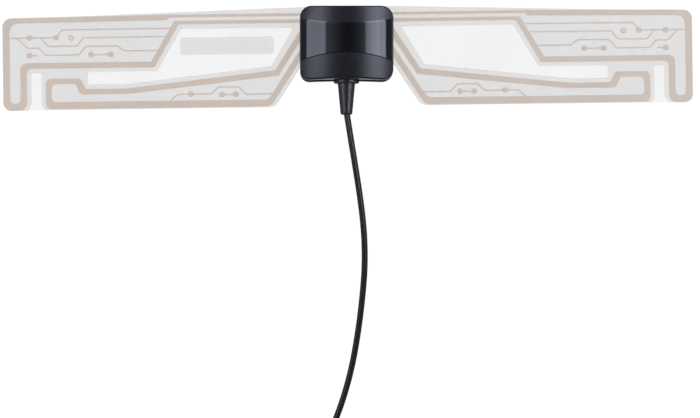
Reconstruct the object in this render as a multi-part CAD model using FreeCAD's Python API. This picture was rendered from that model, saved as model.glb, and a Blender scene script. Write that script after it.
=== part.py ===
import FreeCAD, Part
import math
import os

V = FreeCAD.Vector
os.makedirs("parts", exist_ok=True)

# Flat film television antenna, lying on its back on a table.  Millimetres.
# X runs along the arms, Y from the cable end to the top edge, Z up off the
# table.  The origin is on the film's back face, behind the middle of the box.

# ---------------------------------------------------------------- dimensions
# film stack
CARRIER_T = 0.30            # clear sheet
TINT_T = 0.10               # light grey layer with windows
COND_T = 0.06               # printed conductor
Z_TINT = CARRIER_T
Z_COND = CARRIER_T + TINT_T
Z_STACK = CARRIER_T + TINT_T + COND_T

ARM_END = 172.4             # half the film's length
FILM_TOP = 19.22            # top edge at the middle
FILM_TOP_END = 15.42        # top edge at the arm's end
FILM_BOTTOM = -30.70        # bottom edge near the notch
FILM_BOTTOM_END = -30.98    # bottom edge at the arm's end
NOTCH_TOP = -6.40           # notch between the arms, hidden behind the box

LINE_W = 0.65               # fine decorative lines of the conductor
PAD_R = 1.45                # round pads on them
FILM_SKEW = 0.75            # the film sits this many degrees askew to the box
FILM_SHIFT = 0.50           # and this far to the right of the box's middle

# box
BOX_LEFT, BOX_RIGHT = 22.92, 23.25            # sides, from the cable's axis
CORNERS = {(-1, 1): 5.4, (1, 1): 5.8, (-1, -1): 4.4, (1, -1): 5.8}     # by side and end
BOX_TOP_MID, BOX_TOP_17 = 17.86, 18.22        # hollow top edge at x = 0 and 17
BOX_BOT_MID, BOX_BOT_17 = -18.00, -18.36      # hollow bottom edge
REAR_RIM = 0.40             # rear half stands this much proud along the bottom
PAD_T = 0.84                # foam tape under the box
Z_BOX = Z_STACK + PAD_T     # back face of the box
Z_PART = 5.40               # parting plane, and the cable's axis
CROWN_Z = 12.50             # front face at the middle
CROWN_R = 58.0              # front face is part of a cylinder along Y
WALL = 1.60
CROWN_WALL = 2.40
BACK_WALL = 1.50
PANEL_T = 1.00              # glossy panel
PANEL_INSET = 0.12          # it lies this much below the matte front
PANEL_TOP_MID, PANEL_TOP_20 = 9.60, 11.50     # its top edge at x = 0 and 20
PANEL_BOT_MID, PANEL_BOT_20 = -5.05, -8.00    # its bottom edge
PANEL_GROOVE = 0.20         # open groove along its bottom edge
FRONT_EDGE = 0.90           # rounding of the front face's outline

# board
BOARD_Z, BOARD_T = 3.40, 1.00
BOARD_X, BOARD_Y0, BOARD_Y1 = 18.6, -9.5, 12.5
SCREWS = [(-15.6, 9.2), (15.6, -6.2)]
POSTS = [(-15.6, 9.2), (15.6, -6.2), (15.6, 9.2), (-15.6, -6.2)]

# cable
CABLE_D = 3.10
BOOT_L = 15.43
BOOT_W0, BOOT_H0 = 8.60, 4.60    # oval section at the collar
BOOT_W1, BOOT_H1 = 5.75, 4.10    # and at the cable
COLLAR_W, COLLAR_H, COLLAR_T = 12.5, 7.4, 2.17     # oval flange
COLLAR_Y = -17.70           # face of the collar against the box
BOOT_END = COLLAR_Y - COLLAR_T - BOOT_L

# the cable's points from the strain relief to the coil
RUN_POINTS = [
    (0.22, BOOT_END + 0.5, Z_PART),
    (0.95, -39.6, Z_PART),
    (2.09, -46.6, 5.35),
    (3.90, -57.8, 5.05),
    (6.53, -74.0, 4.55),
    (8.77, -92.0, 3.95),
    (9.29, -110.0, 3.30),
    (7.80, -128.0, 2.60),
    (5.54, -145.5, 2.05),
    (2.53, -162.0, 1.70),
    (-1.77, -177.5, 1.56),
    (-6.78, -190.6, 1.56),
    (-10.80, -199.37, 1.85),
]
# coil of the rest of the cable: four layers of three turns, nested
COIL_X, COIL_Y = 4.80, -211.50
COIL_LIFT = 0.40            # the tie's thickness under the coil
TURN_R = [[19.50, 16.40, 13.30], [11.75, 14.85, 17.95],
          [19.50, 16.40, 13.30], [11.75, 14.85, 17.95]]
LAYER_Z = [1.95, 4.63, 7.32, 10.00]
# from the coil to the plug
PLUG_X0 = COIL_X + 48.0
PLUG_Y = COIL_Y - 12.6
PLUG_Z = 6.0
TAIL_POINTS = [
    (COIL_X + 4.0, COIL_Y - 17.95, 9.60),
    (COIL_X + 15.0, COIL_Y - 18.20, 8.20),
    (COIL_X + 26.0, COIL_Y - 15.30, 5.90),
    (COIL_X + 37.0, PLUG_Y, PLUG_Z),
    (PLUG_X0, PLUG_Y, PLUG_Z),
]

# plug, type 9.52 coaxial
PLUG_BOOT_L = 9.0
GRIP_R, GRIP_L = 6.0, 22.0
SHELL_R, SHELL_L, SHELL_T = 4.76, 9.5, 0.5
PIN_R, PIN_L = 1.18, 9.3


# ------------------------------------------------------------------- helpers
def save(shape, name):
    """Write one node; say its volume and how many solids it holds."""
    sol = shape.Solids
    if len(sol) == 1:
        shape = sol[0]
    ok = shape.isValid() and all(s.isValid() and s.Volume > 0 for s in sol)
    b = shape.BoundBox
    print("%-22s solids %2d valid %s vol %9.3f  x %.2f..%.2f y %.2f..%.2f z %.2f..%.2f" % (
        name, len(sol), ok, shape.Volume, b.XMin, b.XMax, b.YMin, b.YMax, b.ZMin, b.ZMax))
    shape.exportStep("parts/%s.step" % name)
    return shape


def rounded(pts, z=0.0):
    """Closed wire of straight edges through (x, y, r), corners rounded by r."""
    n = len(pts)
    ends = []
    for i in range(n):
        x, y = pts[i][0], pts[i][1]
        r = pts[i][2] if len(pts[i]) > 2 else 0.0
        p = V(x, y, z)
        if r <= 0:
            ends.append((p, None, p))
            continue
        a, b = pts[i - 1], pts[(i + 1) % n]
        u = (V(a[0], a[1], z) - p).normalize()
        w = (V(b[0], b[1], z) - p).normalize()
        half = u.getAngle(w) / 2.0
        t = r / math.tan(half)
        mid = (u + w).normalize()
        c = p + mid * (r / math.sin(half))
        ends.append((p + u * t, c - mid * r, p + w * t))
    edges = []
    for i in range(n):
        t1, m, t2 = ends[i]
        if m is not None:
            edges.append(Part.Arc(t1, m, t2).toShape())
        nxt = ends[(i + 1) % n][0]
        if (nxt - t2).Length > 1e-6:
            edges.append(Part.LineSegment(t2, nxt).toShape())
    return Part.Wire(edges)


def prism(pts, z0, h):
    return Part.Face(rounded(pts, z0)).extrude(V(0, 0, h))


def rect(w, h, r, cx=0.0, cy=0.0):
    return [(cx - w / 2, cy - h / 2, r), (cx + w / 2, cy - h / 2, r),
            (cx + w / 2, cy + h / 2, r), (cx - w / 2, cy + h / 2, r)]


def stroke(path, w):
    """Outline of a strip of width w along a polyline, mitred at its corners."""
    left, right = [], []
    for i, (x, y) in enumerate(path):
        dirs = []
        if i > 0:
            dirs.append(V(x - path[i - 1][0], y - path[i - 1][1], 0).normalize())
        if i < len(path) - 1:
            dirs.append(V(path[i + 1][0] - x, path[i + 1][1] - y, 0).normalize())
        nrm = [V(-d.y, d.x, 0) for d in dirs]
        if len(nrm) == 2:
            m = (nrm[0] + nrm[1]).normalize()
            k = (w / 2) / m.dot(nrm[0])
        else:
            m, k = nrm[0], w / 2
        left.append((x + m.x * k, y + m.y * k))
        right.append((x - m.x * k, y - m.y * k))
    return left + right[::-1]


def mirror_x(shape):
    return shape.mirror(V(0, 0, 0), V(1, 0, 0))


def box(x0, x1, y0, y1, z0, z1):
    return Part.makeBox(x1 - x0, y1 - y0, z1 - z0, V(x0, y0, z0))


def fuse(first, rest):
    return first.multiFuse(rest).removeSplitter() if rest else first


def on_xz(pts, y0, depth):
    """Prism of an outline drawn in X and Z, from y0 towards +Y."""
    s = prism(pts, 0.0, depth)
    s.rotate(V(0, 0, 0), V(1, 0, 0), 90)
    s.translate(V(0, y0 + depth, 0))
    return s


def oval(w, h, y):
    e = Part.Ellipse(V(0, y, Z_PART) + V(w / 2, 0, 0), V(0, y, Z_PART) + V(0, 0, h / 2), V(0, y, Z_PART))
    return Part.Wire([e.toShape()])


def tube(points, d, name):
    """Round tube along straight runs joined by tangent arcs."""
    p = [V(*q) for q in points]
    runs = [(p[i + 1] - p[i]).Length for i in range(len(p) - 1)]
    edges, here, radii = [], p[0], []
    for i in range(1, len(p) - 1):
        u = (p[i - 1] - p[i]).normalize()
        w = (p[i + 1] - p[i]).normalize()
        turn = math.pi - u.getAngle(w)
        t = 0.45 * min(runs[i - 1], runs[i])
        r = t / math.tan(turn / 2)
        radii.append(r)
        mid = (u + w).normalize()
        c = p[i] + mid * (r / math.cos(turn / 2))
        a, b = p[i] + u * t, p[i] + w * t
        edges.append(Part.LineSegment(here, a).toShape())
        edges.append(Part.Arc(a, c - mid * r, b).toShape())
        here = b
    edges.append(Part.LineSegment(here, p[-1]).toShape())
    path = Part.Wire(edges)
    prof = Part.Wire([Part.Circle(p[0], p[1] - p[0], d / 2).toShape()])
    s = path.makePipeShell([prof], True, False)
    want = math.pi * d * d / 4 * path.Length
    print("%s: length %.1f, runs %s" % (name, path.Length, " ".join("%.1f" % r for r in runs)))
    print("   radii %s; volume %.1f, section x length %.1f" % (
        " ".join("%.1f" % r for r in radii), s.Volume, want))
    return s


# ---------------------------------------------------------------- film stack
def laid(shape):
    """A piece of the film, turned and shifted to where it lies under the box."""
    s = shape.copy()
    s.rotate(V(0, 0, 0), V(0, 0, 1), FILM_SKEW)
    s.translate(V(FILM_SHIFT, 0, 0))
    return s


half = [(21.5, FILM_TOP), (135.0, 16.00), (ARM_END, FILM_TOP_END, 4.4),
        (ARM_END, FILM_BOTTOM_END, 4.2), (150.0, -30.75),
        (36.46, FILM_BOTTOM, 5.2), (20.60, NOTCH_TOP, 2.5)]
outline = half + [(-q[0],) + tuple(q[1:]) for q in reversed(half)]

carrier_film = prism(outline, 0.0, CARRIER_T)
save(laid(carrier_film), "carrier_film")

# clear windows and the slot beside the leg, one arm
window = [(82.90, 9.05, 1.0), (27.10, 8.80, 0.8), (38.25, -10.05, 1.2),
          (107.5, -17.80), (112.5, -18.10), (129.85, -18.10, 1.0),
          (129.85, -11.95, 1.0), (95.30, -11.90, 1.6)]
slot = [(153.10, -12.30, 0.9), (158.15, -12.30, 0.9), (158.15, -27.60, 4.0),
        (160.90, -32.50), (150.90, -32.50), (153.10, -28.20, 4.0)]
tint = prism(outline, Z_TINT, TINT_T)
for hole in (window, slot):
    c = prism(hole, Z_TINT - 0.5, 1.2)
    tint = tint.cut(c).cut(mirror_x(c))
save(laid(tint), "tinted_film")

label = prism(rect(46.75, 8.75, 1.5, -60.28, 0.38), Z_TINT, TINT_T)
save(laid(label), "blank_label")

# conductor of one arm: the upper folded loop
upper = [(14.0, 16.10), (89.5, 16.22), (172.22, 15.30, 4.4), (172.22, -30.84, 4.0),
         (160.45, -30.84, 4.0), (160.45, -9.95, 2.5), (96.56, -9.95, 1.2),
         (84.20, 11.30, 0.8), (14.0, 11.30), (14.0, 13.10), (86.36, 13.10, 0.6),
         (98.18, -7.10, 1.0), (163.65, -7.10, 3.5), (163.65, -27.30, 2.3),
         (168.80, -27.30, 2.3), (168.80, 12.67, 4.4), (89.5, 13.50),
         (89.5, 14.75), (14.0, 14.75)]
# the lower loop with its hooked end
lower = [(15.0, 21.07 - 10.0), (21.20, 11.25), (36.35, -12.23, 1.0), (107.5, -20.05),
         (112.0, -20.40), (131.2, -20.40, 1.6), (133.4, -15.05, 2.6),
         (151.0, -15.05, 2.8), (151.0, -30.30, 2.6), (38.54, -30.30, 5.4),
         (20.5, -2.55), (15.0, -2.55), (15.0, 2.80), (20.5, 2.80),
         (39.70, -26.75, 3.8), (148.05, -26.75, 2.2), (148.05, -17.80, 2.3),
         (136.1, -17.80, 1.6), (133.9, -23.15, 2.6), (108.5, -23.02),
         (106.5, -22.80), (34.60, -14.95, 1.5), (20.5, 6.85), (15.0, 6.85)]
feed_pad = rect(12.5, 19.1, 1.0, 14.25, 6.55)
fine_lines = [
    [(169.2, 5.45), (145.6, 5.45), (142.65, 9.30), (88.0, 9.40)],
    [(153.1, 5.45), (149.75, 1.15), (135.1, 1.15), (132.0, 5.22), (90.5, 5.35)],
    [(164.85, 5.45), (160.1, 0.38), (154.25, 0.40), (151.0, -3.27), (134.25, -3.30),
     (130.75, 0.95), (115.0, 1.00), (111.5, -1.55), (94.6, -1.55)],
    [(89.1, -27.20), (85.25, -23.65), (68.4, -23.65), (64.75, -20.25),
     (54.5, -20.30), (51.1, -24.00), (37.4, -24.00)],
]
line_pads = [(158.95, 5.45), (145.6, 5.45), (78.5, -23.60)]

pieces = [prism(lower, Z_COND, COND_T), prism(feed_pad, Z_COND, COND_T)]
pieces += [prism(stroke(p, LINE_W), Z_COND, COND_T) for p in fine_lines]
pieces += [Part.makeCylinder(PAD_R, COND_T, V(x, y, Z_COND)) for x, y in line_pads]
conductor = fuse(prism(upper, Z_COND, COND_T), pieces)
save(laid(conductor), "right_conductor")
save(laid(mirror_x(conductor)), "left_conductor")


def bar(pads, ends):
    s = prism(stroke(ends, LINE_W), Z_COND, COND_T)
    return fuse(s, [Part.makeCylinder(PAD_R, COND_T, V(x, y, Z_COND)) for x, y in pads])


ring = Part.makeCylinder(PAD_R, COND_T, V(137.95, 5.20, Z_COND)).cut(
    Part.makeCylinder(0.55, COND_T, V(137.95, 5.20, Z_COND)))
islands = [ring,
           bar([(159.0, -3.40)], [(159.0, -3.40), (154.75, -3.40)]),
           bar([(128.0, -3.28), (118.25, -3.28)], [(128.0, -3.28), (118.25, -3.28)]),
           bar([(63.0, -24.0), (56.0, -24.0)], [(63.0, -24.0), (56.0, -24.0)])]
islands = [s.Solids[0] for s in islands]
save(Part.Compound([laid(s) for s in islands]), "right_trace_islands")
save(Part.Compound([laid(mirror_x(s)) for s in islands]), "left_trace_islands")

# ----------------------------------------------------------------------- box
Z_HIGH = 16.0


def box_wire(k, z, rim):
    """Outline of the box at height z, set in by k: straight sides, hollow top
    and bottom edges, rounded corners; rim moves the bottom edge outwards."""
    hollow = {1: (BOX_TOP_MID - k, BOX_TOP_17 - k),
              -1: (-BOX_BOT_MID - k + rim, -BOX_BOT_17 - k + rim)}

    def corner(sx, sy):
        """A corner's arc: its point on the side, its middle and its point on
        the hollow edge."""
        mid, end = hollow[sy]
        r = max(CORNERS[sx, sy] - k, 0.5)
        sag = end - mid
        big = (17.0 * 17.0 + sag * sag) / (2 * sag)
        yc = mid + big
        cx = (BOX_RIGHT if sx > 0 else BOX_LEFT) - k - r
        cy = yc - math.sqrt((big + r) ** 2 - cx * cx)
        a = V(cx + r, cy, 0)
        b = V(cx * big / (big + r), yc + (cy - yc) * big / (big + r), 0)
        d = V((a.x + b.x) / 2 - cx, (a.y + b.y) / 2 - cy, 0).normalize()
        m = V(cx + d.x * r, cy + d.y * r, 0)
        return [V(sx * p.x, sy * p.y, z) for p in (a, m, b)]

    rt, lt, lb, rb = corner(1, 1), corner(-1, 1), corner(-1, -1), corner(1, -1)
    return Part.Wire([
        Part.LineSegment(rb[0], rt[0]).toShape(), Part.Arc(rt[0], rt[1], rt[2]).toShape(),
        Part.Arc(rt[2], V(0, hollow[1][0], z), lt[2]).toShape(), Part.Arc(lt[2], lt[1], lt[0]).toShape(),
        Part.LineSegment(lt[0], lb[0]).toShape(), Part.Arc(lb[0], lb[1], lb[2]).toShape(),
        Part.Arc(lb[2], V(0, -hollow[-1][0], z), rb[2]).toShape(), Part.Arc(rb[2], rb[1], rb[0]).toShape()])


def box_block(inset, z0, z1, rim=0.0):
    """Upright block of the box's outline, set in all round."""
    return Part.Face(box_wire(inset, z0, rim)).extrude(V(0, 0, z1 - z0))


def crown(drop):
    """Cylinder whose top is the box's front face, lowered by drop."""
    return Part.makeCylinder(CROWN_R - drop, 80, V(0, -40, CROWN_Z - CROWN_R), V(0, 1, 0))


shell = box_block(0.0, Z_BOX, Z_HIGH).common(crown(0.0)).Solids[0]
front_edges = []
for f in shell.Faces:
    if f.Surface.TypeId == "Part::GeomCylinder" and abs(f.Surface.Radius - CROWN_R) < 1e-6:
        front_edges += f.Edges
shell = shell.makeFillet(FRONT_EDGE, front_edges)
upper_half = box(-40, 40, -40, 40, Z_PART, 30)
front_cover = shell.common(upper_half)

rear_cover = box_block(0.0, Z_BOX, Z_PART, REAR_RIM)
back_edges = []
for f in rear_cover.Faces:
    if f.BoundBox.ZLength < 1e-6 and abs(f.BoundBox.ZMin - Z_BOX) < 1e-6:
        back_edges += f.Edges
rear_cover = rear_cover.makeFillet(0.5, back_edges)

front_cover = front_cover.cut(box_block(WALL, Z_PART - 1, Z_HIGH).common(crown(CROWN_WALL)))
# shadow gap at the parting plane
gap = box_block(-1.0, Z_PART - 0.01, Z_PART + 0.25).cut(box_block(0.30, Z_PART - 0.5, Z_PART + 1.0))
front_cover = front_cover.cut(gap)

# waisted recess for the glossy panel, from side to side
def arc_edge(mid, y20, x):
    s = y20 - mid
    r = (400.0 + s * s) / (2 * abs(s))
    y = mid + math.copysign(r - math.sqrt(r * r - x * x), s)
    return Part.Arc(V(-x, y, -5), V(0, mid, -5), V(x, y, -5)).toShape(), y


def band(shrink, shrink_bottom):
    x = 30.0
    top, yt = arc_edge(PANEL_TOP_MID - shrink, PANEL_TOP_20 - shrink, x)
    bot, yb = arc_edge(PANEL_BOT_MID + shrink_bottom, PANEL_BOT_20 + shrink_bottom, x)
    sides = [Part.LineSegment(V(s * x, yt, -5), V(s * x, yb, -5)).toShape() for s in (-1, 1)]
    return Part.Face(Part.Wire(Part.__sortEdges__([top, bot] + sides))).extrude(V(0, 0, 40))


pocket = band(0.0, 0.0).cut(crown(PANEL_INSET + PANEL_T)).common(box(-30, 30, -30, 30, Z_PART + 0.6, 40))
front_cover = front_cover.cut(pocket)
# broken edge of the matte front below the groove
lower_edge = []
for e in front_cover.Edges:
    p = e.valueAt((e.FirstParameter + e.LastParameter) / 2)
    if e.Length > 10 and p.y < PANEL_BOT_MID + 0.1 and p.y > -9 and abs(
            math.hypot(p.x, p.z - CROWN_Z + CROWN_R) - CROWN_R) < 0.01:
        lower_edge.append(e)
print("edges below the groove:", [round(e.Length, 2) for e in lower_edge])
front_cover = front_cover.makeFillet(0.20, lower_edge)
panel = band(0.06, PANEL_GROOVE).common(shell).common(crown(PANEL_INSET)).cut(crown(PANEL_INSET + PANEL_T))
panel = panel.common(box(-30, 30, -30, 30, Z_PART + 0.6, 40))

# rear half: floor, inner lip, posts
cavity = box_block(WALL, Z_BOX + BACK_WALL, Z_PART + 1.0)
rear_cover = rear_cover.cut(cavity)
lip_low = box_block(WALL - 0.2, Z_BOX + BACK_WALL - 0.2, Z_PART).cut(
    box_block(WALL + 0.85, Z_BOX, Z_PART + 0.5))
lip_high = box_block(WALL + 0.15, Z_PART - 0.3, Z_PART + 1.2).cut(
    box_block(WALL + 0.85, Z_BOX, Z_PART + 2.0)).common(crown(CROWN_WALL + 0.2))
posts = [Part.makeCylinder(2.2, BOARD_Z - Z_BOX - 0.5, V(x, y, Z_BOX + 0.5)) for x, y in POSTS]
rear_cover = fuse(rear_cover, [lip_low, lip_high] + posts)
for x, y in SCREWS:
    rear_cover = rear_cover.cut(Part.makeCylinder(0.9, 10, V(x, y, Z_BOX + 0.6)))

# openings for the cable entry and for the contacts
neck_cut = on_xz(rect(7.7, 5.7, 1.2, 0, Z_PART), -22.0, 8.0)
flange_cut = box(-6.5, 6.5, -16.45, -13.0, Z_BOX + BACK_WALL + 0.05, 9.5)
# the collar's seat in the bottom wall
seat = Part.Face(oval(COLLAR_W + 0.1, COLLAR_H + 0.1, -22.0)).extrude(V(0, 22.0 + COLLAR_Y + 0.02, 0))
rear_cover = rear_cover.cut(neck_cut).cut(flange_cut).cut(seat)
front_cover = front_cover.cut(neck_cut).cut(seat)
contact_slots = [box(8.4, 14.4, 2.0, 6.0, -1, Z_BOX + BACK_WALL + 0.1)]
contact_slots.append(mirror_x(contact_slots[0]))
for c in contact_slots:
    rear_cover = rear_cover.cut(c)

save(front_cover, "front_cover")
save(panel, "gloss_panel")
save(rear_cover, "rear_cover")

pad = prism(rect(39.0, 20.0, 2.0, 0.0, 6.2), Z_STACK, PAD_T)
for c in contact_slots:
    pad = pad.cut(c)
save(pad, "adhesive_pad")

# --------------------------------------------------------------------- board
board = prism([(-BOARD_X, BOARD_Y0, 1.0), (BOARD_X, BOARD_Y0, 1.0),
               (BOARD_X, BOARD_Y1, 1.0), (-BOARD_X, BOARD_Y1, 1.0)], BOARD_Z, BOARD_T)
for x, y in SCREWS:
    board = board.cut(Part.makeCylinder(1.1, 10, V(x, y, 0)))
save(board, "circuit_board")
TOP = BOARD_Z + BOARD_T

screws = []
for x, y in SCREWS:
    s = Part.makeCylinder(1.9, 1.2, V(x, y, TOP))
    s = s.makeFillet(0.5, [e for e in s.Edges if abs(e.BoundBox.ZMin - TOP - 1.2) < 1e-6
                           and e.BoundBox.ZLength < 1e-6])
    s = fuse(s, [Part.makeCylinder(0.9, TOP - 2.0 + 0.01, V(x, y, 2.0))])
    for a in (0, 90):
        k = Part.makeBox(2.2, 0.45, 0.7, V(-1.1, -0.225, TOP + 0.6))
        k.rotate(V(0, 0, 0), V(0, 0, 1), a)
        k.translate(V(x, y, 0))
        s = s.cut(k)
    screws.append(s.Solids[0])
save(Part.Compound(screws), "board_screws")

# leaf springs from the board down to the feed pads of the film
leaf = stroke([(17.4, BOARD_Z - 0.1), (14.0, BOARD_Z - 0.1), (11.6, Z_STACK + 0.1),
               (10.2, Z_STACK + 0.1), (9.2, Z_STACK + 0.75)], 0.2)
spring = on_xz(leaf, 2.5, 3.0)
# the lowest edge of the leaf lies on the film
save(spring, "right_contact_spring")
save(mirror_x(spring), "left_contact_spring")

# parts on the board
chip = box(-9.5, -4.5, 0.6, 4.5, TOP + 0.15, TOP + 1.6)
chip = chip.makeChamfer(0.25, [e for e in chip.Edges if e.BoundBox.ZMin > TOP + 1.5])
chip = chip.cut(Part.makeCylinder(0.35, 0.2, V(-8.8, 1.3, TOP + 1.45)))
leads = []
for i in range(4):
    x = -8.9 + i * 1.27
    for s in (-1, 1):
        yb = 2.55 + s * 1.95
        ys = sorted((yb - s * 0.1, yb + s * 0.55))
        yf = sorted((yb + s * 0.35, yb + s * 1.05))
        leads.append(box(x - 0.2, x + 0.2, ys[0], ys[1], TOP + 0.55, TOP + 0.75))
        yv = sorted((yb + s * 0.35, yb + s * 0.55))
        leads.append(box(x - 0.2, x + 0.2, yv[0], yv[1], TOP, TOP + 0.75))
        leads.append(box(x - 0.2, x + 0.2, yf[0], yf[1], TOP, TOP + 0.2))
save(fuse(chip, leads), "amplifier_chip")


def chips(spots, w, l, h):
    out = []
    for x, y, turned in spots:
        a, b = (l, w) if turned else (w, l)
        c = box(x - a / 2, x + a / 2, y - b / 2, y + b / 2, TOP, TOP + h)
        out.append(c.makeChamfer(0.08, [e for e in c.Edges if e.BoundBox.ZMin > TOP + h - 0.01]))
    return Part.Compound(out)


save(chips([(-12.6, 4.0, 0), (-12.6, 0.6, 0), (-2.6, 6.6, 1), (-6.8, -2.4, 1),
            (10.6, -2.6, 0), (12.9, 2.2, 0)], 1.25, 2.0, 0.85), "chip_capacitors")
save(chips([(-10.6, -2.6, 1), (-2.6, -0.2, 0), (-10.4, 8.4, 1), (13.4, -1.6, 0),
            (3.2, 8.8, 1)], 0.8, 1.6, 0.45), "chip_resistors")
save(chips([(-6.6, 9.2, 1), (9.6, 9.4, 1)], 2.0, 2.5, 1.8), "chip_inductors")

# two-hole ferrite core with a few turns of wire
CORE = (6.2, 3.2)
core = box(CORE[0] - 3.1, CORE[0] + 3.1, CORE[1] - 2.6, CORE[1] + 2.6, TOP, TOP + 3.4)
core = core.makeFillet(0.9, [e for e in core.Edges if e.BoundBox.YLength > 5
                             and e.BoundBox.ZMin > TOP + 3.0])
for s in (-1, 1):
    core = core.cut(Part.makeCylinder(0.8, 20, V(CORE[0] + s * 1.4, CORE[1] - 10, TOP + 1.7), V(0, 1, 0)))
save(core, "balun_core")
turns = []
for dz in (-0.5, 0.0, 0.5):
    z = TOP + 1.7 + dz
    path = rounded(rect(2.8, 6.2, 0.6, CORE[0], CORE[1]), z)
    prof = Part.Wire([Part.Circle(V(CORE[0] + 1.4, CORE[1], z), V(0, 1, 0), 0.2).toShape()])
    path = rounded([(CORE[0] + 1.4, CORE[1]), (CORE[0] + 1.4, CORE[1] + 3.1, 0.6),
                    (CORE[0] - 1.4, CORE[1] + 3.1, 0.6), (CORE[0] - 1.4, CORE[1] - 3.1, 0.6),
                    (CORE[0] + 1.4, CORE[1] - 3.1, 0.6)], z)
    turns.append(path.makePipeShell([prof], True, False))
save(Part.Compound(turns), "balun_winding")

# -------------------------------------------------------------- cable entry
def along_y(r, y0, y1, x=0.0, z=Z_PART):
    return Part.makeCylinder(r, y1 - y0, V(x, y0, z), V(0, 1, 0))


boot = Part.makeLoft([oval(BOOT_W1, BOOT_H1, BOOT_END), oval(BOOT_W0, BOOT_H0, BOOT_END + BOOT_L)], True, True)
boot = boot.makeFillet(0.85, [e for e in boot.Edges if abs(e.BoundBox.YMax - BOOT_END) < 1e-4])
collar = Part.Face(oval(COLLAR_W, COLLAR_H, COLLAR_Y - COLLAR_T)).extrude(V(0, COLLAR_T, 0))
collar = collar.makeFillet(0.55, [e for e in collar.Edges
                                  if abs(e.BoundBox.YMax - (COLLAR_Y - COLLAR_T)) < 1e-4])
neck = on_xz(rect(7.6, 5.6, 1.2, 0, Z_PART), COLLAR_Y, 2.10)
flange = on_xz(rect(12.2, 5.0, 1.5, 0, Z_PART + 0.05), COLLAR_Y + 2.05, 1.3)
boot = fuse(boot, [collar, neck, flange])
boot = boot.cut(along_y(CABLE_D / 2, -60, 0))
save(boot, "strain_relief")

JACKET_END, BRAID_END, DIEL_END = -11.5, -7.8, -5.4
save(along_y(CABLE_D / 2, BOOT_END, JACKET_END), "coax_jacket_end")
save(along_y(0.95, JACKET_END, BRAID_END), "coax_braid_end")
save(along_y(0.75, BRAID_END, DIEL_END), "coax_dielectric_end")
wire_pts = [V(0, DIEL_END, Z_PART), V(0, -4.6, Z_PART), V(0, -3.4, TOP + 0.25), V(0, -1.8, TOP + 0.25)]
wire_edges = [Part.LineSegment(wire_pts[i], wire_pts[i + 1]).toShape() for i in range(3)]
core_wire = Part.Wire(wire_edges).makePipeShell(
    [Part.Wire([Part.Circle(wire_pts[0], V(0, 1, 0), 0.25).toShape()])], True, False, 1)
save(core_wire, "coax_wire_end")

clip_o = along_y(1.25, -10.6, -8.4).fuse(box(-1.25, 1.25, -10.6, -8.4, TOP, Z_PART))
feet = [box(1.0, 3.2, -9.45, -8.4, TOP, TOP + 0.3), box(-3.2, -1.0, -9.45, -8.4, TOP, TOP + 0.3)]
clip_i = along_y(0.95, -12, -7).fuse(box(-0.95, 0.95, -12, -7, TOP - 1, Z_PART))
clip = fuse(clip_o, feet).cut(clip_i)
save(clip, "cable_clip")

# ----------------------------------------------------------- the free cable
COIL_IN = min(min(r) for r in TURN_R) - CABLE_D / 2
COIL_OUT = max(max(r) for r in TURN_R) + CABLE_D / 2
COIL_Z0, COIL_Z1 = LAYER_Z[0] - CABLE_D / 2, LAYER_Z[-1] + CABLE_D / 2


def ring_section(grow, r):
    w = rounded([(COIL_IN - grow, COIL_Z0 - grow, r), (COIL_OUT + grow, COIL_Z0 - grow, r),
                 (COIL_OUT + grow, COIL_Z1 + grow, r), (COIL_IN - grow, COIL_Z1 + grow, r)])
    f = Part.Face(w)
    f.rotate(V(0, 0, 0), V(1, 0, 0), 90)
    return f


def about_coil(face, start, angle):
    s = face.copy()
    s.rotate(V(0, 0, 0), V(0, 0, 1), start)
    s = s.revolve(V(0, 0, 0), V(0, 0, 1), angle)
    s.translate(V(COIL_X, COIL_Y, 0))
    return s


coil = about_coil(ring_section(0.0, CABLE_D / 2), 0, 360)
save(coil, "cable_coil")
tie_face = ring_section(COIL_LIFT, CABLE_D / 2 + COIL_LIFT).cut(ring_section(0.0, CABLE_D / 2))
tie = about_coil(tie_face, 20.0, 16.0)
save(tie, "coil_tie")

run = tube(RUN_POINTS, CABLE_D, "cable_run")
# its end is trimmed flush with the strain relief
run = run.cut(box(-10, 10, BOOT_END, 0, 0, 20))
run = max(run.cut(coil).Solids, key=lambda s: s.Volume)
save(run, "cable_run")
tail = tube(TAIL_POINTS, CABLE_D, "cable_tail")
tail = max(tail.cut(coil).Solids, key=lambda s: s.Volume)
save(tail, "cable_tail")

# ---------------------------------------------------------------------- plug
def turned(profile):
    """Solid of revolution about the plug's axis from (distance, radius)."""
    pts = [V(PLUG_X0 + a, r, 0) for a, r in profile]
    f = Part.Face(Part.makePolygon(pts + [pts[0]]))
    s = f.revolve(V(0, 0, 0), V(1, 0, 0), 360)
    s.translate(V(0, PLUG_Y, PLUG_Z))
    return s


G0 = PLUG_BOOT_L
G1 = PLUG_BOOT_L + GRIP_L
body = [(0.0, 0.0), (0.0, 2.1), (0.5, 2.4), (G0 - 1.0, 3.6), (G0 - 1.0, 3.9), (G0, 4.6),
        (G0 + 2.0, 5.5), (G0 + 3.0, 5.9), (G0 + 4.0, GRIP_R)]
x = G0 + 5.0
for i in range(5):
    body += [(x, GRIP_R), (x + 0.35, GRIP_R - 0.5), (x + 1.05, GRIP_R - 0.5), (x + 1.4, GRIP_R)]
    x += 2.4
body += [(G1 - 2.6, GRIP_R), (G1 - 2.2, 5.6), (G1 - 0.4, 5.6), (G1, 5.2), (G1, SHELL_R - 0.2),
         (G1 - 6.0, SHELL_R - 0.2), (G1 - 6.0, 0.0)]
save(turned(body), "plug_grip")

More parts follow.
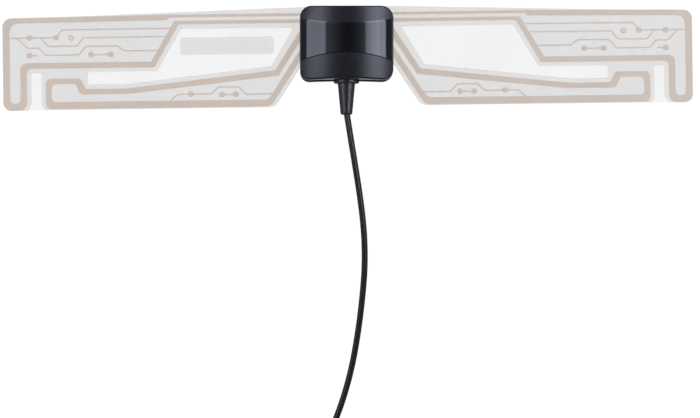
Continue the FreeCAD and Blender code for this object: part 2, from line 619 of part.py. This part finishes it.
S0, S1 = G1 - 6.0, G1 + SHELL_L
plug_shell = turned([(S0, SHELL_R - SHELL_T), (S0, SHELL_R - 0.2), (G1, SHELL_R - 0.2),
                     (G1, SHELL_R), (S1 - 0.6, SHELL_R),
                     (S1, SHELL_R - 0.35), (S1, SHELL_R - SHELL_T)])
for a in (45, 135):
    k = Part.makeBox(7.0, 0.5, 20.0, V(PLUG_X0 + S1 - 6.0, -0.25, -10))
    k.rotate(V(0, 0, 0), V(1, 0, 0), a)
    k.translate(V(0, PLUG_Y, PLUG_Z))
    plug_shell = plug_shell.cut(k)
save(plug_shell, "plug_shell")
INS_L = 5.2
save(turned([(S0, PIN_R), (S0, SHELL_R - SHELL_T), (S0 + INS_L, SHELL_R - SHELL_T),
             (S0 + INS_L, PIN_R)]), "plug_insulator")
save(turned([(S0, 0.0), (S0, PIN_R), (S1 - 1.0, PIN_R), (S1 - 0.35, 0.85), (S1 - 0.1, 0.4),
             (S1 - 0.1, 0.0)]), "plug_pin")
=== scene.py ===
import math

import bpy
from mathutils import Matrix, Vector


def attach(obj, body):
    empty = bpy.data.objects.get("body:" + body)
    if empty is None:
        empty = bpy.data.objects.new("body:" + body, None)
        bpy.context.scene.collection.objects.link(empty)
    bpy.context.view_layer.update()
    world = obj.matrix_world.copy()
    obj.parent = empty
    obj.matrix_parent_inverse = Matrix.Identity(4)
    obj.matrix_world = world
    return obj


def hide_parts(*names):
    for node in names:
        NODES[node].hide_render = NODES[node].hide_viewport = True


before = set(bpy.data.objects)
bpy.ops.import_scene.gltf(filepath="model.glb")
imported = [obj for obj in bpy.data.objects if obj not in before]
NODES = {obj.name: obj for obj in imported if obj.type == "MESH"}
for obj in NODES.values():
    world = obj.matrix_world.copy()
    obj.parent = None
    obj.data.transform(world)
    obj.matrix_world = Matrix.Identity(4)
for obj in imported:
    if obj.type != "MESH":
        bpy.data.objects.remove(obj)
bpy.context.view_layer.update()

MM = 0.001
scene = bpy.context.scene
scene.view_settings.view_transform = "Standard"
scene.view_settings.look = "None"
scene.view_settings.exposure = 0.0
scene.view_settings.gamma = 1.0

# ------------------------------------------------------------------- camera
# looks straight down on the flat film, as the photograph does
CAM_H = 0.650
cam_data = bpy.data.cameras.new("camera")
cam_data.sensor_width = 36.0
cam_data.lens = 36.0 * CAM_H / 0.350
cam = bpy.data.objects.new("camera", cam_data)
cam.location = (0.001774, -0.082049, CAM_H)
scene.collection.objects.link(cam)
scene.camera = cam


# ---------------------------------------------------------------- materials
class Mat:
    """A node material: one Principled shader and the nodes that feed it."""

    def __init__(self, name, color, rough, metallic=0.0, ior=1.5, alpha=1.0):
        self.m = bpy.data.materials.new(name)
        self.m.use_nodes = True
        self.t = self.m.node_tree
        self.b = self.t.nodes["Principled BSDF"]
        self.set("Base Color", (color[0], color[1], color[2], 1.0))
        self.set("Roughness", rough)
        self.set("Metallic", metallic)
        self.set("IOR", ior)
        self.set("Alpha", alpha)
        self.coord = self.t.nodes.new("ShaderNodeTexCoord")

    def set(self, socket, value):
        self.b.inputs[socket].default_value = value
        return self

    def node(self, kind, **props):
        n = self.t.nodes.new(kind)
        for k, v in props.items():
            setattr(n, k, v)
        return n

    def link(self, a, b):
        self.t.links.new(a, b)

    def stretched(self, scale):
        n = self.node("ShaderNodeMapping")
        n.inputs["Scale"].default_value = scale
        self.link(self.coord.outputs["Object"], n.inputs["Vector"])
        return n.outputs["Vector"]

    def noise(self, scale, detail=3.0, rough=0.55, vector=None):
        n = self.node("ShaderNodeTexNoise")
        n.inputs["Scale"].default_value = scale
        n.inputs["Detail"].default_value = detail
        n.inputs["Roughness"].default_value = rough
        self.link(vector or self.coord.outputs["Object"], n.inputs["Vector"])
        return n.outputs["Fac"]

    def voronoi(self, scale, feature="F1", vector=None):
        n = self.node("ShaderNodeTexVoronoi", feature=feature)
        n.inputs["Scale"].default_value = scale
        self.link(vector or self.coord.outputs["Object"], n.inputs["Vector"])
        return n.outputs["Distance"]

    def ramp(self, fac, stops):
        n = self.node("ShaderNodeValToRGB")
        r = n.color_ramp
        while len(r.elements) < len(stops):
            r.elements.new(0.5)
        for e, (pos, col) in zip(r.elements, stops):
            e.position = pos
            e.color = (col[0], col[1], col[2], 1.0)
        self.link(fac, n.inputs["Fac"])
        return n.outputs["Color"]

    def range(self, fac, low, high, src=(0.3, 0.7)):
        n = self.node("ShaderNodeMapRange")
        n.inputs["From Min"].default_value = src[0]
        n.inputs["From Max"].default_value = src[1]
        n.inputs["To Min"].default_value = low
        n.inputs["To Max"].default_value = high
        self.link(fac, n.inputs["Value"])
        return n.outputs["Result"]

    def color_from(self, fac, stops):
        self.link(self.ramp(fac, stops), self.b.inputs["Base Color"])
        return self

    def rough_from(self, fac, low, high):
        self.link(self.range(fac, low, high), self.b.inputs["Roughness"])
        return self

    def alpha_from(self, fac, low, high):
        self.link(self.range(fac, low, high), self.b.inputs["Alpha"])
        return self

    def shaded_edges(self, gloss):
        """Painted shade on the edges: the gloss fades where the surface turns away, so the rims do not reflect the
        bright floor.
        """
        n = self.node("ShaderNodeLayerWeight")
        self.link(self.range(n.outputs["Facing"], gloss, 0.04, (0.12, 0.48)), self.b.inputs["Specular IOR Level"])
        return self

    def bump(self, height, strength, distance):
        n = self.node("ShaderNodeBump")
        n.inputs["Strength"].default_value = strength
        n.inputs["Distance"].default_value = distance
        self.link(height, n.inputs["Height"])
        self.link(n.outputs["Normal"], self.b.inputs["Normal"])
        return self


def tone(c, k):
    return (c[0] * k, c[1] * k, c[2] * k)


def shades(c, spread):
    return [(0.30, tone(c, 1.0 - spread)), (0.70, tone(c, 1.0 + spread))]


def use(node, mat):
    ob = NODES[node]
    ob.data.materials.clear()
    ob.data.materials.append(mat.m)


# clear film: thin polished sheet with a little haze
clear_film = Mat("clear_film", (0.20, 0.20, 0.20), 0.12, alpha=0.10)
haze = clear_film.noise(38.0, 4.0)
clear_film.color_from(haze, shades((0.20, 0.20, 0.20), 0.03))
clear_film.alpha_from(clear_film.noise(22.0, 3.0), 0.092, 0.108)
clear_film.rough_from(clear_film.noise(160.0, 4.0), 0.08, 0.16)
clear_film.bump(clear_film.noise(9.0, 2.0), 0.03, 0.0005)

# grey translucent layer: satin
TINT = (0.425, 0.412, 0.402)
tint_film = Mat("tinted_film", TINT, 0.45, alpha=0.22)
tint_film.color_from(tint_film.noise(26.0, 5.0), shades(TINT, 0.025))
tint_film.rough_from(tint_film.noise(420.0, 3.0), 0.40, 0.52)
tint_film.bump(tint_film.noise(2600.0, 2.0), 0.10, 0.00004)

# printed conductor: fine-grained beige print
COND = (0.43, 0.36, 0.302)
conductor = Mat("conductor_print", COND, 0.42, alpha=0.5)
grain = conductor.noise(3200.0, 2.0)
conductor.color_from(conductor.noise(60.0, 5.0), shades(COND, 0.035))
conductor.rough_from(grain, 0.36, 0.50)
conductor.bump(grain, 0.15, 0.00003)

# box: fine matte mould texture
MATTE = (0.0030, 0.0030, 0.0038)
matte_black = Mat("matte_black", MATTE, 0.27)
tex = matte_black.voronoi(4200.0)
matte_black.color_from(matte_black.noise(300.0, 4.0), shades(MATTE, 0.12))
matte_black.set("Specular IOR Level", 0.37)
# painted shade on the reflections: the specular level falls towards the bottom of the box and again at its top-left
# corner, so these parts reflect less light
shade_xyz = matte_black.node("ShaderNodeSeparateXYZ")
matte_black.link(matte_black.coord.outputs["Object"], shade_xyz.inputs["Vector"])
corner_shade = matte_black.node("ShaderNodeMath", operation="SUBTRACT")
matte_black.link(shade_xyz.outputs["Y"], corner_shade.inputs[0])
matte_black.link(shade_xyz.outputs["X"], corner_shade.inputs[1])
level = matte_black.node("ShaderNodeMath", operation="MULTIPLY")
matte_black.link(matte_black.range(shade_xyz.outputs["Y"], 0.30, 0.44, (-0.018, 0.018)), level.inputs[0])
matte_black.link(matte_black.range(corner_shade.outputs["Value"], 1.0, 0.45, (0.0295, 0.0380)), level.inputs[1])
matte_black.link(level.outputs["Value"], matte_black.b.inputs["Specular IOR Level"])
matte_black.rough_from(matte_black.noise(900.0, 3.0), 0.240, 0.270)
matte_black.bump(tex, 0.025, 0.00002)

GLOSS = (0.0010, 0.0010, 0.0014)
gloss_black = Mat("gloss_black", GLOSS, 0.04)
gloss_black.color_from(gloss_black.noise(120.0, 2.0), shades(GLOSS, 0.08))
gloss_black.rough_from(gloss_black.noise(70.0, 4.0), 0.030, 0.055)
gloss_black.bump(gloss_black.noise(55.0, 1.0), 0.012, 0.0004)

REAR = (0.0040, 0.0040, 0.0046)
rear_black = Mat("rear_black", REAR, 0.85)
rear_black.set("Specular IOR Level", 0.06)
rear_black.color_from(rear_black.noise(300.0, 4.0), shades(REAR, 0.15))
rear_black.rough_from(rear_black.noise(900.0, 3.0), 0.80, 0.92)
rear_black.bump(rear_black.voronoi(2400.0), 0.12, 0.00004)

SOFT = (0.0035, 0.0035, 0.0042)
soft_black = Mat("soft_black", SOFT, 0.28)
soft_black.set("Specular IOR Level", 0.44)
# painted shade: the gloss is cut at the rims of the boot
soft_black.shaded_edges(0.44)
soft_black.set("Specular Tint", (1.0, 0.97, 0.90, 1.0))
soft_black.color_from(soft_black.noise(420.0, 4.0), shades(SOFT, 0.12))
soft_black.rough_from(soft_black.noise(700.0, 3.0), 0.25, 0.31)
soft_black.bump(soft_black.noise(3000.0, 2.0), 0.035, 0.00004)

JACKET = (0.0028, 0.0028, 0.0034)
jacket = Mat("cable_jacket", JACKET, 0.25)
jacket.set("Specular IOR Level", 0.36)
# painted shade: the gloss is cut at the rims of the cable
jacket.shaded_edges(0.36)
jacket.color_from(jacket.noise(260.0, 4.0), shades(JACKET, 0.12))
jacket.rough_from(jacket.noise(900.0, 3.0), 0.22, 0.29)
jacket.bump(jacket.noise(1500.0, 3.0), 0.10, 0.00005)

FOAM = (0.035, 0.035, 0.037)
foam = Mat("foam_tape", FOAM, 0.9)
foam.color_from(foam.noise(2000.0, 4.0), shades(FOAM, 0.3))
foam.bump(foam.voronoi(2600.0), 0.5, 0.0002)

TIE = (0.018, 0.018, 0.020)
tie_mat = Mat("tie_strap", TIE, 0.75)
weave = tie_mat.node("ShaderNodeTexWave", wave_type="BANDS", bands_direction="Z")
weave.inputs["Scale"].default_value = 900.0
weave.inputs["Distortion"].default_value = 1.5
tie_mat.link(tie_mat.coord.outputs["Object"], weave.inputs["Vector"])
tie_mat.color_from(weave.outputs["Fac"], shades(TIE, 0.35))
tie_mat.bump(weave.outputs["Fac"], 0.5, 0.00015)

BOARD = (0.012, 0.085, 0.035)
board = Mat("circuit_board", BOARD, 0.32)
board.color_from(board.noise(700.0, 4.0), shades(BOARD, 0.25))
board.bump(board.noise(1500.0, 2.0), 0.1, 0.00004)

chip = Mat("chip_body", (0.012, 0.012, 0.013), 0.55)
chip.color_from(chip.noise(1800.0, 3.0), shades((0.012, 0.012, 0.013), 0.3))
chip.bump(chip.noise(5000.0, 2.0), 0.2, 0.00004)

CERAMIC = (0.30, 0.20, 0.12)
ceramic = Mat("chip_ceramic", CERAMIC, 0.38)
ceramic.color_from(ceramic.noise(1500.0, 3.0), shades(CERAMIC, 0.15))

FERRITE = (0.030, 0.030, 0.033)
ferrite = Mat("ferrite", FERRITE, 0.62)
ferrite.color_from(ferrite.noise(2500.0, 4.0), shades(FERRITE, 0.35))
ferrite.bump(ferrite.noise(3500.0, 3.0), 0.3, 0.00006)

COPPER = (0.63, 0.30, 0.16)
copper = Mat("copper_wire", COPPER, 0.28, metallic=1.0)
copper.color_from(copper.noise(900.0, 3.0), shades(COPPER, 0.12))
copper.rough_from(copper.noise(2200.0, 3.0), 0.22, 0.38)

BRONZE = (0.56, 0.40, 0.18)
bronze = Mat("spring_bronze", BRONZE, 0.30, metallic=1.0)
bronze.color_from(bronze.noise(600.0, 3.0), shades(BRONZE, 0.08))
bronze.rough_from(bronze.noise(1400.0, 3.0, vector=bronze.stretched((0.1, 1.0, 1.0))), 0.22, 0.40)

STEEL = (0.52, 0.53, 0.55)
steel = Mat("screw_steel", STEEL, 0.30, metallic=1.0)
steel.color_from(steel.noise(900.0, 3.0), shades(STEEL, 0.06))
steel.rough_from(steel.noise(2500.0, 3.0), 0.22, 0.40)

NICKEL = (0.66, 0.65, 0.62)
nickel = Mat("plug_nickel", NICKEL, 0.20, metallic=1.0)
nickel.color_from(nickel.noise(350.0, 3.0), shades(NICKEL, 0.04))
nickel.rough_from(nickel.noise(900.0, 3.0, vector=nickel.stretched((6.0, 1.0, 1.0))), 0.12, 0.30)

WHITE = (0.74, 0.73, 0.69)
white = Mat("white_plastic", WHITE, 0.42)
white.color_from(white.noise(500.0, 3.0), shades(WHITE, 0.03))
white.bump(white.noise(2500.0, 2.0), 0.05, 0.00004)

for names, mat in (
    (("carrier_film",), clear_film),
    (("tinted_film", "blank_label"), tint_film),
    (("left_conductor", "right_conductor", "left_trace_islands", "right_trace_islands"), conductor),
    (("front_cover",), matte_black),
    (("rear_cover",), rear_black),
    (("gloss_panel",), gloss_black),
    (("strain_relief", "plug_grip"), soft_black),
    (("coax_jacket_end", "cable_run", "cable_coil", "cable_tail"), jacket),
    (("adhesive_pad",), foam),
    (("coil_tie",), tie_mat),
    (("circuit_board",), board),
    (("amplifier_chip", "chip_resistors"), chip),
    (("chip_capacitors",), ceramic),
    (("chip_inductors", "balun_core"), ferrite),
    (("balun_winding", "coax_braid_end", "coax_wire_end"), copper),
    (("left_contact_spring", "right_contact_spring"), bronze),
    (("board_screws", "cable_clip"), steel),
    (("plug_shell", "plug_pin"), nickel),
    (("plug_insulator", "coax_dielectric_end"), white),
):
    for n in names:
        use(n, mat)

# -------------------------------------------------------------- film layers
# each printed layer lies a hair above the one under it, so that the thin
# translucent layers do not share a face
def layer(node, name, lift, mat):
    mesh = NODES[node].data.copy()
    mesh.name = name
    for v in mesh.vertices:
        v.co.z += lift
    mesh.materials.clear()
    mesh.materials.append(mat.m)
    ob = bpy.data.objects.new(name, mesh)
    scene.collection.objects.link(ob)
    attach(ob, "root")
    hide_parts(node)
    return ob


layer("tinted_film", "tint_layer", 0.015 * MM, tint_film)
layer("blank_label", "label_layer", 0.015 * MM, tint_film)
for side in ("left", "right"):
    layer(side + "_conductor", side + "_print", 0.030 * MM, conductor)
    layer(side + "_trace_islands", side + "_print_islands", 0.030 * MM, conductor)

# ------------------------------------------------------------- glossy panel
# crowned in X; its top margin sweeps up a little to the matte front, its
# bottom edge is broken where it meets the groove
CROWN_R, CROWN_Z, INSET = 58.0, 12.5, 0.12
PANEL_THICK = 0.95


def boundary(mid, y20, x):
    s = y20 - mid
    r = (400.0 + s * s) / (2 * abs(s))
    return mid + math.copysign(r - math.sqrt(r * r - x * x), s)


def panel_z(x, up, down):
    z = CROWN_Z - CROWN_R + math.sqrt((CROWN_R - INSET) ** 2 - x * x)
    if up < 0.9:
        z += 0.045 * (0.9 - up) ** 2
    if down < 0.10:
        z -= 0.10 - math.sqrt(0.10 ** 2 - (0.10 - down) ** 2)
    side = PANEL_X - abs(x)
    if side < 0.7:
        z -= 0.7 - math.sqrt(max(0.7 ** 2 - (0.7 - side) ** 2, 0.0))
    return z


PANEL_X = 23.05
NX, NY = 180, 64
verts, faces = [], []
for i in range(NX + 1):
    u = 2.0 * i / NX - 1.0
    x = PANEL_X * (0.6 * u + 0.4 * math.sin(math.pi * u / 2))
    y0, y1 = boundary(-5.05 + 0.20, -8.00 + 0.20, x), boundary(9.60, 11.50, x)
    for j in range(NY + 1):
        t = 0.5 - 0.5 * math.cos(math.pi * j / NY)
        y = y0 + (y1 - y0) * t
        verts.append((x * MM, y * MM, panel_z(x, y1 - y, y - y0) * MM))
for i in range(NX):
    for j in range(NY):
        a = i * (NY + 1) + j
        faces.append((a, a + NY + 1, a + NY + 2, a + 1))
panel_top, low = len(faces), len(verts)
verts += [(v[0], v[1], v[2] - PANEL_THICK * MM) for v in verts]
faces += [tuple(low + k for k in reversed(f)) for f in faces]
rim = ([i * (NY + 1) for i in range(NX + 1)] + [NX * (NY + 1) + j for j in range(1, NY + 1)]
       + [i * (NY + 1) + NY for i in range(NX - 1, -1, -1)] + [j for j in range(NY - 1, 0, -1)])
for k in range(len(rim)):
    n = (k + 1) % len(rim)
    faces.append((rim[k], low + rim[k], low + rim[n], rim[n]))
gloss_mesh = bpy.data.meshes.new("gloss_face")
gloss_mesh.from_pydata(verts, [], faces)
for p in gloss_mesh.polygons[:panel_top]:
    p.use_smooth = True
gloss_mesh.materials.append(gloss_black.m)
gloss_face = bpy.data.objects.new("gloss_face", gloss_mesh)
scene.collection.objects.link(gloss_face)
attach(gloss_face, "root")
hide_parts("gloss_panel")

# --------------------------------------------------------------------- cord
CABLE_D = 3.10 * MM
RUN = [
    (0.22, -34.80, 5.40),
    (0.95, -39.6, 5.40),
    (2.09, -46.6, 5.35),
    (3.90, -57.8, 5.05),
    (6.53, -74.0, 4.55),
    (8.77, -92.0, 3.95),
    (9.29, -110.0, 3.30),
    (7.80, -128.0, 2.60),
    (5.54, -145.5, 2.05),
    (2.53, -162.0, 1.70),
    (-1.77, -177.5, 1.56),
    (-6.78, -190.6, 1.56),
    (-10.80, -199.37, 1.85),
]
COIL = (4.80, -211.50)
TURNS = [(19.50, 1.95), (16.40, 1.95), (13.30, 1.95), (11.75, 4.63), (14.85, 4.63), (17.95, 4.63),
         (19.50, 7.32), (16.40, 7.32), (13.30, 7.32), (11.75, 10.00), (14.85, 10.00), (17.95, 10.00)]
TAIL = [
    (8.8, -229.45, 9.60),
    (19.8, -229.70, 8.20),
    (30.8, -226.80, 5.90),
    (41.8, -224.10, 6.00),
    (52.8, -224.10, 6.00),
]
PER_TURN = 16
A0 = 159.8                      # the cable comes onto the coil here, in degrees
A1 = A0 + 360.0 * 12 + 110.2    # and leaves it here
turn_points = []
count = int((A1 - A0) / 360.0 * PER_TURN)
for i in range(count + 1):
    a = A0 + (A1 - A0) * i / count
    whole = min(int((a - A0) / 360.0), 11)
    part = (a - A0) / 360.0 - whole
    r, z = TURNS[whole]
    if whole < 11 and part > 0.7:
        s = (part - 0.7) / 0.3
        s = s * s * (3 - 2 * s)
        r += (TURNS[whole + 1][0] - r) * s
        z += (TURNS[whole + 1][1] - z) * s
    r /= math.cos(math.pi / PER_TURN)
    turn_points.append((COIL[0] + r * math.cos(math.radians(a)), COIL[1] + r * math.sin(math.radians(a)), z))

points = RUN + turn_points + TAIL
curve = bpy.data.curves.new("cable", "CURVE")
curve.dimensions = "3D"
curve.bevel_depth = CABLE_D / 2
curve.bevel_resolution = 6
curve.resolution_u = 6
curve.use_fill_caps = True
spline = curve.splines.new("NURBS")
spline.points.add(len(points) - 1)
for p, q in zip(spline.points, points):
    p.co = (q[0] * MM, q[1] * MM, q[2] * MM, 1.0)
spline.order_u = 3
spline.use_endpoint_u = True
curve.materials.append(jacket.m)
cable = bpy.data.objects.new("cable", curve)
scene.collection.objects.link(cable)
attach(cable, "root")
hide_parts("cable_run", "cable_coil", "cable_tail")

# -------------------------------------------------------------------- stage
floor_mesh = bpy.data.meshes.new("floor")
FLOOR_Z = -0.0003
rings, segs = [(0.0, 0.0), (6.0, 0.0), (6.6, 0.12), (7.0, 0.6), (7.1, 1.6), (7.1, 4.5)], 96
verts, faces = [(0.0, 0.0, FLOOR_Z)], []
for r, z in rings[1:]:
    verts += [(r * math.cos(2 * math.pi * k / segs), r * math.sin(2 * math.pi * k / segs), z + FLOOR_Z) for k in range(segs)]
for k in range(segs):
    faces.append((0, 1 + k, 1 + (k + 1) % segs))
for j in range(len(rings) - 2):
    a, b = 1 + j * segs, 1 + (j + 1) * segs
    for k in range(segs):
        n = (k + 1) % segs
        faces.append((a + k, b + k, b + n, a + n))
floor_mesh.from_pydata(verts, [], faces)
for p in floor_mesh.polygons[segs:]:
    p.use_smooth = True
floor = bpy.data.objects.new("floor", floor_mesh)
scene.collection.objects.link(floor)
paper = Mat("floor_paper", (0.18, 0.18, 0.18), 0.8)
paper.set("Specular IOR Level", 0.0)
paper.color_from(paper.noise(30.0, 3.0), [(0.3, (0.178, 0.178, 0.178)), (0.7, (0.182, 0.182, 0.182))])
paper.set("Emission Color", (1.0, 1.0, 1.0, 1.0))
paper.set("Emission Strength", 0.79)
floor_mesh.materials.append(paper.m)


def area(name, x0, x1, y0, y1, z, radiance, color=(1, 1, 1), glossy=True, diffuse=True):
    """Horizontal soft light of the given radiance, facing down."""
    d = bpy.data.lights.new(name, "AREA")
    d.shape = "RECTANGLE"
    d.size, d.size_y = x1 - x0, y1 - y0
    d.energy = radiance * math.pi * d.size * d.size_y
    d.color = color
    o = bpy.data.objects.new(name, d)
    o.location = ((x0 + x1) / 2, (y0 + y1) / 2, z)
    o.visible_glossy = glossy
    o.visible_diffuse = diffuse
    o.visible_camera = False
    scene.collection.objects.link(o)
    return o


# overhead softbox panel seen in gloss: even on the left, rising outwards on
# the right, dim in the middle; stops are degrees off the vertical, radiance
LIGHT_Z = 3.0
PANEL = [(-58.0, 0.42), (-42.2, 0.42), (-41.2, 4.0), (-39.4, 4.3), (-36.0, 3.9), (-22.6, 3.9), (-21.6, 2.4),
         (-20.6, 0.95), (-15.0, 0.66), (-9.0, 0.36), (-5.0, 0.21), (0.0, 0.15), (5.0, 0.17), (9.0, 0.26),
         (13.0, 0.40), (16.3, 0.62), (18.4, 0.80), (19.0, 1.3), (20.2, 3.0), (21.4, 3.7), (23.4, 4.35),
         (26.6, 5.5), (29.7, 6.05), (30.9, 6.25), (31.8, 7.15), (33.2, 6.95), (34.6, 6.1), (40.4, 6.1),
         (41.3, 0.42), (58.0, 0.42)]
half = LIGHT_Z * math.tan(math.radians(58.0))
panel_mesh = bpy.data.meshes.new("light_panel")
panel_mesh.from_pydata([(-half, -0.12, LIGHT_Z), (-half, 2.4, LIGHT_Z), (half, 2.4, LIGHT_Z), (half, -0.12, LIGHT_Z)],
                       [], [(0, 1, 2, 3)])
light_panel = bpy.data.objects.new("light_panel", panel_mesh)
scene.collection.objects.link(light_panel)
glow = Mat("light_panel", (0.0, 0.0, 0.0), 1.0)
split = glow.node("ShaderNodeSeparateXYZ")
glow.link(glow.coord.outputs["Object"], split.inputs["Vector"])
across = glow.range(split.outputs["X"], 0.0, 1.0, (-half, half))
PEAK = 8.0
stops = [((LIGHT_Z * math.tan(math.radians(a)) + half) / (2 * half), tone((0.76, 0.81, 1.0), v / PEAK)) for a, v in PANEL]
glow.link(glow.ramp(across, stops), glow.b.inputs["Emission Color"])
# brighter along its front edge
along = glow.range(split.outputs["Y"], 0.0, 1.0, (-0.12, 0.48))
fade = [(0.0, 0.98), (0.33, 0.98), (0.46, 0.72), (0.70, 0.60), (1.0, 0.50)]
glow.link(glow.range(glow.ramp(along, [(t, (v, v, v)) for t, v in fade]), 0.0, 2.0 * PEAK, (0.0, 1.0)),
          glow.b.inputs["Emission Strength"])
glow.set("Specular IOR Level", 0.0)
panel_mesh.materials.append(glow.m)
light_panel.visible_camera = False
light_panel.visible_diffuse = False
light_panel.visible_shadow = False
light_panel.visible_transmission = False
area("fill", -0.4, 0.4, -0.4, 0.4, 2.9, 55.1, (1, 1, 1), glossy=False)

world = bpy.data.worlds.new("world")
world.use_nodes = True
world.node_tree.nodes["Background"].inputs["Color"].default_value = (0.13, 0.13, 0.14, 1.0)
world.node_tree.nodes["Background"].inputs["Strength"].default_value = 1.0
scene.world = world
